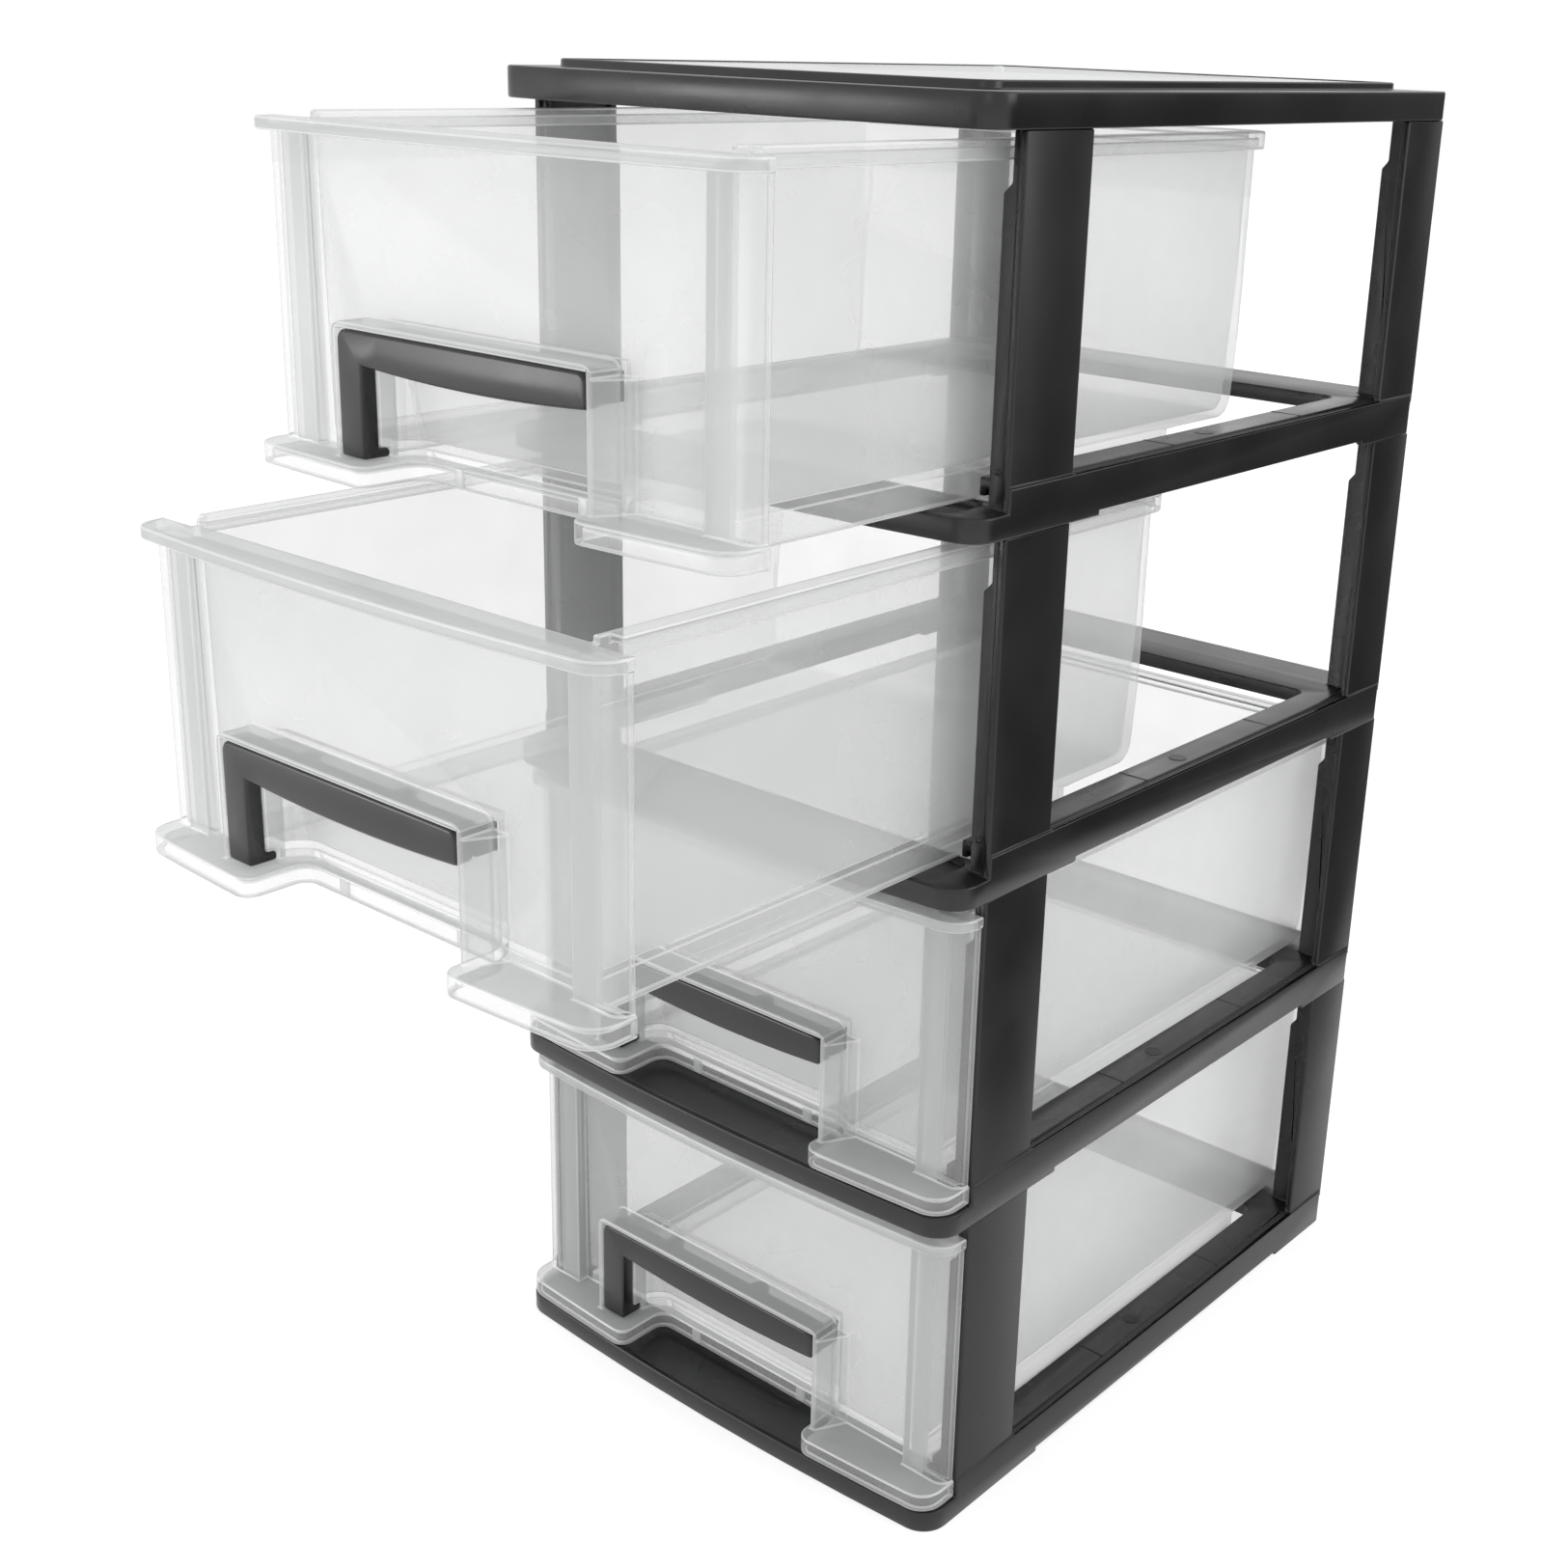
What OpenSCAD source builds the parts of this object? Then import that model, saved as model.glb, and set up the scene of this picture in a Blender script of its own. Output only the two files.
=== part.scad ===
// Plastic drawer tower: four stacked tier frames and a lid frame, with a sliding drawer
// in each tier and a dark handle cover clipped to each drawer front.
// Millimetres, +Z up, front towards -Y. The origin lies on the floor under the middle of
// the plane of the front posts. Tiers and drawers are counted from the top.

/* [Tower] */
// Height from one frame's foot to the next one's
tower_pitch = 80; // [72:1:120]
// Outer width of the frames
tower_w = 142; // [130:1:220]
// Depth from the plane of the front posts to the rear face
tower_d = 180; // [140:1:260]
// How far the frames' front corners reach forward of the posts
front_reach = 10.7; // [9.5:0.1:16]
// Extra reach in the middle of the bowed front
front_bow = 2.8; // [1:0.1:6]
// Radius of the frames' front corners, seen from above
front_corner_r = 7; // [3:0.5:9]
// Radius of the frames' rear corners, seen from above
rear_corner_r = 2.5; // [2.2:0.1:5]

/* [Tier frame] */
// Wall thickness of the black mouldings
frame_wall = 2; // [1.6:0.1:2.4]
// Height of a frame's side and rear walls
frame_h = 10.4; // [9:0.2:14]
// Thickness of the flat top of the rails and the crossbar
frame_top_t = 1.8; // [1.2:0.1:2.4]
// How far the side rails reach in from the outer face
rail_w = 10; // [8.5:0.1:10.4]
// Depth of the rear crossbar
crossbar_d = 25; // [20:1:34]
// Radius of the floor opening's rear corners
opening_corner_r = 3; // [2:0.5:8]
// Rise of the raised track on the rails and the crossbar
track_rise = 0.8; // [0.4:0.1:1.4]
// Set-back of the track from the outer side faces
track_inset = 1.6; // [1:0.1:2]
// Set-back of the track from the rear face
track_rear_inset = 11; // [9:0.5:14]
// Radius of the track's rear corners
track_corner_r = 9; // [4:0.5:12]
// Width of the stiffening lip round the floor opening
lip_w = 1.6; // [1.2:0.1:2.2]
// Height of that lip, measured down from the track
lip_h = 4; // [3:0.1:5]
// Height of the front ledge
ledge_h = 5.3; // [4.6:0.1:6]
// How far the ledge reaches back behind the plane of the posts
ledge_back = 7; // [6:0.5:19]
// Thickness of the ledge's floor
ledge_t = 1.8; // [1.2:0.1:2.2]
// Depth of the tray sunk into the ledge
tray_depth = 1.5; // [0.8:0.1:1.8]
// Width of the rim round the tray
tray_rim = 1.6; // [1.4:0.1:2.6]
// Width of the solid ends of the ledge beside the tray
tray_side = 9; // [7.5:0.5:14]
// Radius of the tray's corners
tray_corner_r = 4; // [2:0.5:6]
// Height of the gap under the rear wall, between the rear posts
rear_gap_h = 4.5; // [3:0.1:6]
// Height of the shallow relief under the side walls
side_relief_h = 1.1; // [0.5:0.1:2]
// Where that relief starts behind the front posts' plane
side_relief_front = 33; // [26:1:50]
// Where it ends, measured from the rear face
side_relief_rear = 27; // [22:1:40]

/* [Posts] */
// Set-back of the posts from the frames' outer faces
post_inset = 0.5; // [0.3:0.1:1]
// Depth of a front post
front_post_d = 22.7; // [21.5:0.1:28]
// Reach of the front post's front flange, from the frame's outer face
front_flange_w = 6.2; // [5:0.1:7]
// Reach of the front post's rear return, from the frame's outer face
front_return_w = 5.3; // [4.6:0.1:6.2]
// Set-back of the front flange from the posts' front plane
flange_setback = 0.6; // [0.3:0.1:1.2]
// Depth of a rear post
rear_post_d = 19; // [16:0.5:24]
// Reach of the rear post's front flange, from the frame's outer face
rear_flange_w = 8.7; // [7.8:0.1:9]
// Set-back of the rear post's flange from its panel's front edge
rear_flange_setback = 3.5; // [2:0.1:5]
// Reach of the rear post's rear return, from the frame's outer face
rear_return_w = 6; // [4.6:0.1:6.6]
// Reach of the front flange and return in the neck beside the drawer's rim
front_neck_w = 4.2; // [3.8:0.1:4.6]
// Reach of the rear flange in the neck beside the drawer's rim
rear_neck_w = 7.1; // [6.2:0.1:7.2]
// Distance from the top of the post down to the neck
neck_drop = 10; // [8:0.2:12]
// Height of the slanted step below the neck
neck_step = 2; // [1:0.1:3]
// Height of the tongues that locate the frame above
tongue_h = 4; // [2:0.1:4.8]
// Clearance between a tongue and the wall that it stands inside
tongue_clear = 0.2; // [0.1:0.05:0.4]

/* [Lid] */
// Height of the lid's band
lid_h = 7; // [6.8:0.1:12]
// Thickness of the lid's flat top
lid_top_t = 2; // [1.4:0.1:2]
// Set-back of the raised rim from the lid's edge
lid_rim_inset = 9; // [6:0.5:14]
// Width of the raised rim
lid_rim_w = 2; // [1.4:0.1:3]
// Height of the raised rim
lid_rim_h = 1.8; // [1.4:0.1:3]
// Radius of the raised rim's corners
lid_rim_r = 5; // [4:0.5:8]
// Width of the seat under the clear panel's edge
panel_seat_w = 3; // [2:0.5:6]
// Thickness of the clear panel
panel_t = 1.5; // [1:0.1:3]
// Play between the clear panel and the rim
panel_clear = 0.2; // [0.1:0.05:0.4]
// Radius of the small nub in the middle of the clear panel
nub_r = 1.2; // [0.8:0.1:2]
// Height of that nub
nub_h = 1.4; // [0.6:0.1:2.5]

/* [Drawer] */
// Vertical play between a drawer and the tracks and the ledge that carry it
slide_clear = 0.4; // [0.3:0.05:0.8]
// Play between a drawer's front and the front posts
front_clear = 0.4; // [0.3:0.05:0.8]
// Side play between the drawer's tub and the rails
side_clear = 2.5; // [2:0.1:3.2]
// Free height above the drawer's rim
head_clear = 2.1; // [1:0.1:3.5]
// Free depth behind the drawer's rim
rear_clear = 1.5; // [0.5:0.1:3]
// Wall thickness of the drawer
drawer_wall = 1.5; // [1.2:0.1:1.8]
// Thickness of the drawer's floor
drawer_floor_t = 1.6; // [1.2:0.1:2.4]
// How much wider the tub is at the top than at the floor, on each side
side_draft = 1.6; // [0.8:0.1:2]
// How much the tub's rear wall leans back
rear_draft = 1.5; // [0.5:0.1:2]
// Radius of the tub's rear corners, seen from above
tub_corner_r = 6; // [4:0.5:12]
// Radius between the tub's floor and its rear wall
tub_bottom_r = 5; // [3:0.5:10]
// How far the rim stands out from the tub's sides
rim_out = 3.2; // [2.4:0.1:3.4]
// How far the rim stands out behind the tub
rim_rear_out = 1.6; // [1.5:0.1:2.5]
// Thickness of the rim's top
rim_t = 1.5; // [1.2:0.1:2]
// Width of the rim's turned-down edge
rim_edge_w = 1.3; // [1:0.1:1.6]
// Height of the rim's side strip
rim_h = 4; // [3:0.1:4.6]
// Where the side rims start behind the posts' front plane
rim_start = 3.2; // [2.8:0.1:8]
// Thickness of the runners under the tub's sides
runner_t = 1.8; // [1.2:0.1:2.4]
// Gap from the runners' rear ends to the rear crossbar
runner_gap = 7; // [4:0.5:20]

/* [Drawer front] */
// Distance from the posts' front plane forward to the face of the front panel
panel_face = 1; // [0.6:0.1:2]
// Distance from the posts' front plane forward to the face of the side columns
column_face = 4; // [3:0.1:5.6]
// Gap from the columns' outer edges to the frame's outer plane
column_inset = 1.2; // [0.9:0.1:2]
// Radius of the columns' outer corners
column_corner_r = 3.4; // [1.6:0.1:3.4]
// Gap from the skirt's and the top lip's edges to the frame's outer plane
skirt_inset = 0.8; // [0.4:0.1:1.5]
// How far the skirt's corners reach forward of the posts
skirt_reach = 10.9; // [9.5:0.1:14]
// Height of the skirt's face
skirt_h = 4.5; // [3.6:0.1:5.6]
// Radius of the skirt's and the top lip's corners, seen from above
skirt_corner_r = 6.5; // [3:0.5:7.5]
// How far the top lip's corners reach forward of the posts
top_lip_reach = 8.4; // [7.5:0.1:11]
// Height of the top lip's face
top_lip_h = 2.6; // [1.9:0.1:4]
// Step from the side rims down to the top lip
top_lip_drop = 1.3; // [0.5:0.1:2]

/* [Handle] */
// Left end of the handle bar
bar_left = -42.6; // [-50:0.1:-40]
// Right end of the handle bar
bar_right = 31.4; // [26:0.1:40]
// Height of the bar's lower edge above the frame's foot
bar_z = 29.7; // [24:0.1:34]
// Height of the bar's face
bar_h = 6.9; // [6:0.1:12]
// Depth of the bar and of the leg
bar_d = 4; // [3:0.1:4.6]
// Distance from the posts' front plane forward to the bar's face
bar_face = 8.5; // [8:0.1:9]
// Radius of the bar's upper corners
bar_r = 2.5; // [1:0.1:4]
// Radius of the lower corner at the bar's right end
bar_end_r = 1.2; // [0.4:0.1:2.5]
// Depth of the flange behind the top of the bar
flange_d = 2.4; // [1:0.1:2.8]
// Height of that flange
flange_h = 3.1; // [2:0.1:5]
// Width of the leg under the bar's left end
leg_w = 7.7; // [5:0.1:9]
// Height of the leg's foot above the frame's foot
leg_z = 10.5; // [10.4:0.1:14]
// Width of the toe behind the leg's foot
toe_w = 2.2; // [1.4:0.1:4]
// Depth of that toe
toe_d = 2.6; // [1.5:0.1:2.8]
// Height of that toe
toe_h = 1.9; // [1.2:0.1:4]
// Play between the handle cover and its housing
cover_clear = 0.2; // [0.1:0.05:0.3]
// Wall thickness of the housing and the finger recess
housing_wall = 1.3; // [1:0.1:1.8]
// Radius of the housing's upper corners
housing_corner_r = 2.5; // [1:0.1:4]
// Thickness of the right flank where it meets the front panel
flank_w = 5.4; // [2:0.1:8]
// Depth of the finger recess behind the posts' front plane, at its foot
recess_depth = 4.3; // [4:0.1:10]
// Depth of the recess behind that plane, under its roof
recess_top_depth = 1.2; // [0.5:0.1:4]
// Radius of the recess's rear corners
recess_corner_r = 5.5; // [3:0.5:8]
// Depth of the pocket cut in the skirt, behind the posts' front plane
pocket_depth = 1.9; // [0:0.1:4]
// Half of the pocket's width
pocket_half = 30.5; // [24:0.1:31]
// Radius of the pocket's rear corners
pocket_r = 3; // [1:0.5:5]
// Radius of the skirt's corners on either side of the pocket
pocket_mouth_r = 3.8; // [2:0.1:6]

/* [Drawer positions] */
// How far the first drawer from the top is pulled out
drawer_1_out = 70; // [0:1:150]
// How far the second drawer is pulled out
drawer_2_out = 103; // [0:1:150]
// How far the third drawer is pulled out
drawer_3_out = 0; // [0:1:150]
// How far the fourth drawer is pulled out
drawer_4_out = 0; // [0:1:150]

/* [Hidden] */

tier_count = 4;
drawer_out = [drawer_1_out, drawer_2_out, drawer_3_out, drawer_4_out];
frame_colour = "#2a2a2c";
clear_colour = "#dfe3e4";
cover_colour = "#303032";
corner_steps = 8;
bow_steps = 14;
eps = 0.01;
far = 500;

tower_half = tower_w / 2;
post_x = tower_half - post_inset;
wall_in = tower_half - frame_wall;
rail_in = tower_half - rail_w;
frame_top = frame_h + track_rise;
crossbar_y = tower_d - crossbar_d;
rear_post_y = tower_d - rear_post_d;
rear_flange_y = rear_post_y + rear_flange_setback;
rail_start = flange_setback + frame_wall;
tray_floor = ledge_h - tray_depth;
web_t = frame_wall;

lid_z = tier_count * tower_pitch;
lid_top = lid_z + lid_h;
lid_panel_inset = lid_rim_inset + lid_rim_w;

tub_z = frame_top + slide_clear;
rim_top = tower_pitch - head_clear;
tub_half = rail_in - side_clear;
tub_top_half = tub_half + side_draft;
rim_half = tub_top_half + rim_out;
rim_rear = tower_d - rear_clear;
tub_rear = rim_rear - rim_rear_out;
top_lip_z = rim_top - top_lip_drop;
skirt_z = ledge_h + slide_clear;
skirt_top = skirt_z + skirt_h;
runner_z = skirt_z;
column_half = tower_half - column_inset;
column_in = tub_half - drawer_wall;

bar_top = bar_z + bar_h;
roof_z = bar_top + cover_clear;
roof_top = roof_z + housing_wall;
housing_face = bar_face + cover_clear;
housing_left = bar_left - cover_clear - housing_wall;
recess_left = bar_left + leg_w;
recess_right = bar_right + cover_clear;
bar_back = bar_face - bar_d;
flange_back = bar_back - flange_d;

function tier_z(index) = (tier_count - index) * tower_pitch;

// Points along an arc about c, with radius r, from angle a to angle b.
function arc(c, r, a, b, steps = corner_steps) =
  [for (i = [0 : steps]) let (t = a + (b - a) * i / steps) [c[0] + r * cos(t), c[1] + r * sin(t)]];

// The same arc without its two end points.
function open_arc(c, r, a, b, steps) =
  [for (i = [1 : steps - 1]) let (t = a + (b - a) * i / steps) [c[0] + r * cos(t), c[1] + r * sin(t)]];

// Outline of a plate whose front edge bows forward by bow between rounded corners.
function bowed_outline(half, front, front_r, rear, rear_r, bow = front_bow) =
  let (
    big_r = (half * half + bow * bow) / (2 * bow),
    mid_y = front - bow + big_r,
    corner_x = half - front_r,
    corner_y = mid_y - sqrt(pow(big_r - front_r, 2) - corner_x * corner_x),
    turn = atan2(corner_y - mid_y, corner_x)
  )
  concat(
    arc([corner_x, corner_y], front_r, turn, 0),
    arc([half - rear_r, rear - rear_r], rear_r, 0, 90),
    arc([rear_r - half, rear - rear_r], rear_r, 90, 180),
    arc([-corner_x, corner_y], front_r, 180, 180 - turn),
    open_arc([0, mid_y], big_r, 180 - turn, 360 + turn, bow_steps)
  );

// Outline of a plate with a straight front edge and rounded rear corners.
function backed_outline(half, front, rear, rear_r) =
  concat(
    [[-half, front], [half, front]],
    arc([half - rear_r, rear - rear_r], rear_r, 0, 90),
    arc([rear_r - half, rear - rear_r], rear_r, 90, 180)
  );

module slab(z, height) {
  translate([0, 0, z])
    linear_extrude(height)
      children();
}

module box(low, high) {
  translate(low)
    cube(high - low);
}

module both_sides() {
  children();
  mirror([1, 0, 0])
    children();
}

// An outline drawn in x and z, extruded along y from near to far_y.
module upright(near, far_y) {
  translate([0, far_y, 0])
    rotate([90, 0, 0])
      linear_extrude(far_y - near)
        children();
}

module frame_outline(inset = 0) {
  polygon(bowed_outline(
    tower_half - inset, inset - front_reach, front_corner_r - inset,
    tower_d - inset, max(rear_corner_r - inset, 0.2)
  ));
}

// Side, rear and front walls of a tier frame, with the reliefs under them.
module frame_walls() {
  difference() {
    slab(0, frame_h)
      difference() {
        frame_outline();
        frame_outline(frame_wall);
      }
    box([-far, -far, ledge_h], [far, 0, far]);
    box([-tower_half + rear_flange_w, crossbar_y, -1], [tower_half - rear_flange_w, far, rear_gap_h]);
    box([-far, side_relief_front, -1], [far, tower_d - side_relief_rear, side_relief_h]);
  }
}

// Front ledge with its sunk tray and the web under it.
module frame_ledge() {
  difference() {
    slab(tray_floor - ledge_t, ledge_t + tray_depth)
      intersection() {
        frame_outline(frame_wall - eps);
        translate([-far, -far])
          square([2 * far, far + ledge_back]);
      }
    slab(tray_floor, tray_depth + 1)
      polygon(bowed_outline(
        tower_half - tray_side, tray_rim - front_reach, tray_corner_r,
        ledge_back - tray_rim, tray_corner_r
      ));
  }
  box([-wall_in - eps, -web_t / 2, 0], [wall_in + eps, web_t / 2, tray_floor]);
}

module floor_opening() {
  polygon(backed_outline(rail_in, -far, crossbar_y, opening_corner_r));
}

// Rails and rear crossbar: flat top, raised track and the lip round the opening.
module frame_rails() {
  slab(frame_h - frame_top_t, frame_top_t)
    difference() {
      polygon(backed_outline(wall_in + eps, rail_start, tower_d - frame_wall + eps, rear_corner_r));
      floor_opening();
    }
  slab(frame_h - eps, track_rise + eps)
    difference() {
      polygon(backed_outline(
        tower_half - track_inset, rail_start, tower_d - track_rear_inset, track_corner_r
      ));
      floor_opening();
    }
  slab(frame_top - lip_h, lip_h)
    difference() {
      polygon(backed_outline(
        rail_in + lip_w, rail_start, crossbar_y + lip_w, opening_corner_r + lip_w
      ));
      floor_opening();
    }
}

// A post's flange as a plate in x and z that narrows beside the drawer's rim.
module necked_plate(base_z, reach, neck) {
  neck_z = tower_pitch - neck_drop;
  polygon([
    [post_x, base_z],
    [tower_half - reach, base_z],
    [tower_half - reach, neck_z - neck_step],
    [tower_half - neck, neck_z],
    [tower_half - neck, tower_pitch],
    [post_x, tower_pitch]
  ]);
}

module tongue(near, reach) {
  box(
    [tower_half - reach, near, tower_pitch - eps],
    [wall_in - tongue_clear, near + frame_wall, tower_pitch + tongue_h]
  );
}

module front_post() {
  return_y = front_post_d - frame_wall;
  box([post_x - frame_wall, 0, frame_h - frame_top_t], [post_x, front_post_d, tower_pitch]);
  upright(flange_setback, flange_setback + frame_wall)
    necked_plate(tray_floor, front_flange_w, front_neck_w);
  upright(return_y, front_post_d)
    necked_plate(frame_h - frame_top_t, front_return_w, front_neck_w);
  tongue(return_y, front_neck_w);
}

module rear_post() {
  box([post_x - frame_wall, rear_post_y, frame_h - frame_top_t], [post_x, tower_d, tower_pitch]);
  upright(rear_flange_y, rear_flange_y + frame_wall)
    necked_plate(frame_h - frame_top_t, rear_flange_w, rear_neck_w);
  box(
    [tower_half - rear_return_w, tower_d - frame_wall, frame_h - frame_top_t],
    [post_x, tower_d, tower_pitch]
  );
  tongue(rear_flange_y, rear_neck_w);
}

module tier_frame(index) {
  color(frame_colour)
    translate([0, 0, tier_z(index)]) {
      frame_walls();
      frame_ledge();
      frame_rails();
      both_sides()
        front_post();
      both_sides()
        rear_post();
    }
}

// Outline that follows the lid's edge at a set-back, used for the rim, panel and window.
module lid_outline(inset, corner_r) {
  polygon(bowed_outline(
    tower_half - inset, inset - front_reach, corner_r, tower_d - inset, corner_r
  ));
}

module lid_frame() {
  color(frame_colour) {
    slab(lid_z, lid_h)
      difference() {
        frame_outline();
        frame_outline(frame_wall);
      }
    slab(lid_top - lid_top_t, lid_top_t)
      difference() {
        frame_outline(eps);
        lid_outline(lid_panel_inset + panel_seat_w, lid_rim_r - lid_rim_w);
      }
    slab(lid_top - eps, lid_rim_h + eps)
      difference() {
        lid_outline(lid_rim_inset, lid_rim_r);
        lid_outline(lid_panel_inset, lid_rim_r - lid_rim_w);
      }
  }
}

module lid_panel() {
  color(clear_colour, 0.5) {
    slab(lid_top, panel_t)
      lid_outline(lid_panel_inset + panel_clear, lid_rim_r - lid_rim_w);
    translate([0, (tower_d - front_reach) / 2, lid_top + panel_t - eps])
      cylinder(r = nub_r, h = nub_h, $fn = 24);
  }
}

// Solid bounded by the tub's drafted sides, drafted rear wall and rounded rear corners,
// with everything moved inwards by inset and the floor raised by lift.
module tub_solid(inset, lift, top) {
  foot = tub_z + lift;
  grow = side_draft / (rim_top - tub_z);
  lean = rear_draft / (rim_top - tub_z);
  foot_half = tub_half - inset + grow * lift;
  top_half = tub_half - inset + grow * (top - tub_z);
  foot_y = tub_rear - rear_draft - inset + lean * lift;
  top_y = tub_rear - inset + lean * (top - tub_z);
  bend = max(tub_bottom_r - inset, 0.5);
  corner = max(tub_corner_r - inset, 0.5);
  intersection() {
    upright(inset - panel_face, tower_d)
      polygon([[-foot_half, foot], [foot_half, foot], [top_half, top], [-top_half, top]]);
    rotate([90, 0, 90])
      translate([0, 0, -tower_half])
        linear_extrude(tower_w)
          polygon(concat(
            [[inset - panel_face, foot]],
            arc([foot_y - bend, foot + bend], bend, -90, 0),
            [[top_y, top], [inset - panel_face, top]]
          ));
    slab(0, tower_pitch)
      polygon(backed_outline(top_half, inset - panel_face, top_y, corner));
  }
}

module tub() {
  difference() {
    tub_solid(0, 0, rim_top);
    tub_solid(drawer_wall, drawer_floor_t, rim_top + 1);
    box([-far, -far, top_lip_z], [far, drawer_wall - panel_face, far]);
  }
}

// Rim that turns down along the sides and the rear of the tub.
module rim() {
  hole_half = tub_top_half - drawer_wall / 2;
  hole_y = tub_rear - drawer_wall / 2;
  slab(rim_top - rim_t, rim_t)
    difference() {
      polygon(backed_outline(rim_half, rim_start, rim_rear, tub_corner_r + rim_rear_out));
      polygon(backed_outline(hole_half, -far, hole_y, tub_corner_r - drawer_wall / 2));
    }
  slab(rim_top - rim_h, rim_h)
    difference() {
      polygon(backed_outline(rim_half, rim_start, rim_rear, tub_corner_r + rim_rear_out));
      polygon(backed_outline(
        rim_half - rim_edge_w, -far, rim_rear - rim_edge_w, tub_corner_r + rim_rear_out - rim_edge_w
      ));
    }
}

module runner() {
  box(
    [tub_half - runner_t, drawer_wall - panel_face, runner_z],
    [tub_half, crossbar_y - runner_gap, tub_z + drawer_floor_t]
  );
}

// Plan of a side column: a channel that stands forward of the panel, open to the rear.
module column_plan() {
  difference() {
    column_body(0);
    column_body(drawer_wall);
  }
}

module column_body(inset) {
  right = column_half - inset;
  face = inset - column_face;
  r = max(column_corner_r - inset, 0.1);
  back = -front_clear + (inset > 0 ? 1 : 0);
  polygon(concat(
    [[column_in + inset, back], [column_in + inset, face]],
    arc([right - r, face + r], r, -90, 0),
    [[right, back]]
  ));
}

module front_panel() {
  box(
    [-column_in - drawer_wall, -panel_face, skirt_top - drawer_wall],
    [column_in + drawer_wall, drawer_wall - panel_face, top_lip_z]
  );
  both_sides()
    slab(skirt_top - drawer_wall, top_lip_z - skirt_top + drawer_wall)
      column_plan();
}

// Plan of the skirt and the top lip, from their bowed edge back to the panel.
module front_plan(reach, inset) {
  polygon(bowed_outline(
    tower_half - skirt_inset - inset, inset - reach, skirt_corner_r - inset, -front_clear, 0.2
  ));
}

module top_lip() {
  slab(top_lip_z - drawer_wall, drawer_wall)
    front_plan(top_lip_reach, 0);
  slab(top_lip_z - top_lip_h, top_lip_h)
    difference() {
      front_plan(top_lip_reach, 0);
      translate([0, 1])
        front_plan(top_lip_reach + 1, drawer_wall);
    }
}

// Plan of the hollow behind the handle, from the bar back to the recess's rear wall.
module recess_plan(grow = 0) {
  r = recess_corner_r + grow;
  left = recess_left - grow;
  right = recess_right + grow;
  back = recess_depth + grow;
  polygon(concat(
    [[left, grow - housing_face - 1], [right, grow - housing_face - 1]],
    arc([right - r, back - r], r, 0, 90),
    arc([left + r, back - r], r, 90, 180)
  ));
}

// The finger recess as a solid whose rear wall leans forward towards the roof.
module recess_solid(grow = 0) {
  intersection() {
    slab(-1, roof_z + grow + 1)
      recess_plan(grow);
    rotate([90, 0, 90])
      translate([0, 0, -tower_half])
        linear_extrude(tower_w)
          polygon([
            [-far, -far],
            [recess_depth + grow, -far],
            [recess_depth + grow, skirt_top],
            [recess_top_depth + grow, roof_z + grow],
            [-far, roof_z + grow]
          ]);
  }
}

// Front edge of the skirt at x, on its bow.
function skirt_edge(x) =
  let (
    half = tower_half - skirt_inset,
    big_r = (half * half + front_bow * front_bow) / (2 * front_bow)
  )
  big_r - skirt_reach - front_bow - sqrt(big_r * big_r - x * x);

// Plan of the pocket that lets fingers reach up through the skirt, with rounded lips
// at its mouth.
module pocket_plan(grow = 0) {
  r = pocket_r + grow;
  half_w = pocket_half + grow;
  back = pocket_depth + grow;
  mouth_r = pocket_mouth_r - grow;
  mouth_x = pocket_half + pocket_mouth_r;
  mouth_y = skirt_edge(mouth_x) + pocket_mouth_r;
  polygon(concat(
    [[-mouth_x, -far], [mouth_x, -far]],
    arc([mouth_x, mouth_y], mouth_r, 270, 180),
    arc([half_w - r, back - r], r, 0, 90),
    arc([r - half_w, back - r], r, 90, 180),
    arc([-mouth_x, mouth_y], mouth_r, 0, -90)
  ));
}

module skirt_plan() {
  front_plan(skirt_reach, 0);
  intersection() {
    recess_plan(housing_wall);
    translate([-far, -1])
      square([2 * far, far]);
  }
}

// Skirt along the foot of the front: a shelf and a wall that follows its edge and the pocket.
module skirt() {
  slab(skirt_top - drawer_wall, drawer_wall)
    difference() {
      skirt_plan();
      pocket_plan();
    }
  slab(skirt_z, skirt_h)
    intersection() {
      difference() {
        skirt_plan();
        pocket_plan();
      }
      union() {
        difference() {
          front_plan(skirt_reach, 0);
          translate([0, 1])
            front_plan(skirt_reach + 1, drawer_wall);
        }
        pocket_plan(drawer_wall);
      }
    }
}

// Face outline of the housing round the handle bar, in x and z.
module housing_face_outline(right) {
  r = housing_corner_r;
  foot = skirt_top - eps;
  polygon(concat(
    [[housing_left, foot], [right, foot]],
    arc([right - r, roof_top - r], r, 0, 90),
    arc([housing_left + r, roof_top - r], r, 90, 180)
  ));
}

// Translucent housing round the handle bar and the finger recess behind it.
module housing() {
  right = recess_right + housing_wall;
  difference() {
    union() {
      upright(-housing_face, eps - panel_face)
        housing_face_outline(right);
      slab(skirt_top - drawer_wall, roof_top - housing_corner_r - skirt_top + drawer_wall)
        polygon([
          [right - eps, -housing_face],
          [right, -housing_face],
          [recess_right + flank_w, -panel_face + eps],
          [right - eps, -panel_face + eps]
        ]);
      intersection() {
        recess_solid(housing_wall);
        box([-far, -panel_face, skirt_top - drawer_wall], [far, far, far]);
      }
    }
    recess_solid();
    cover_groove();
  }
}

// Room for the handle cover, open to the front and below.
module cover_groove() {
  c = cover_clear;
  box([bar_left - c, -far, -1], [recess_left + eps, c - bar_back, roof_z]);
  box([bar_left - c, -far, bar_top - flange_h - c], [recess_left + eps, c - flange_back, roof_z]);
  box([recess_left - toe_w - c, -far, -1], [recess_left + eps, toe_d - bar_back + c, leg_z + toe_h + c]);
}

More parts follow.
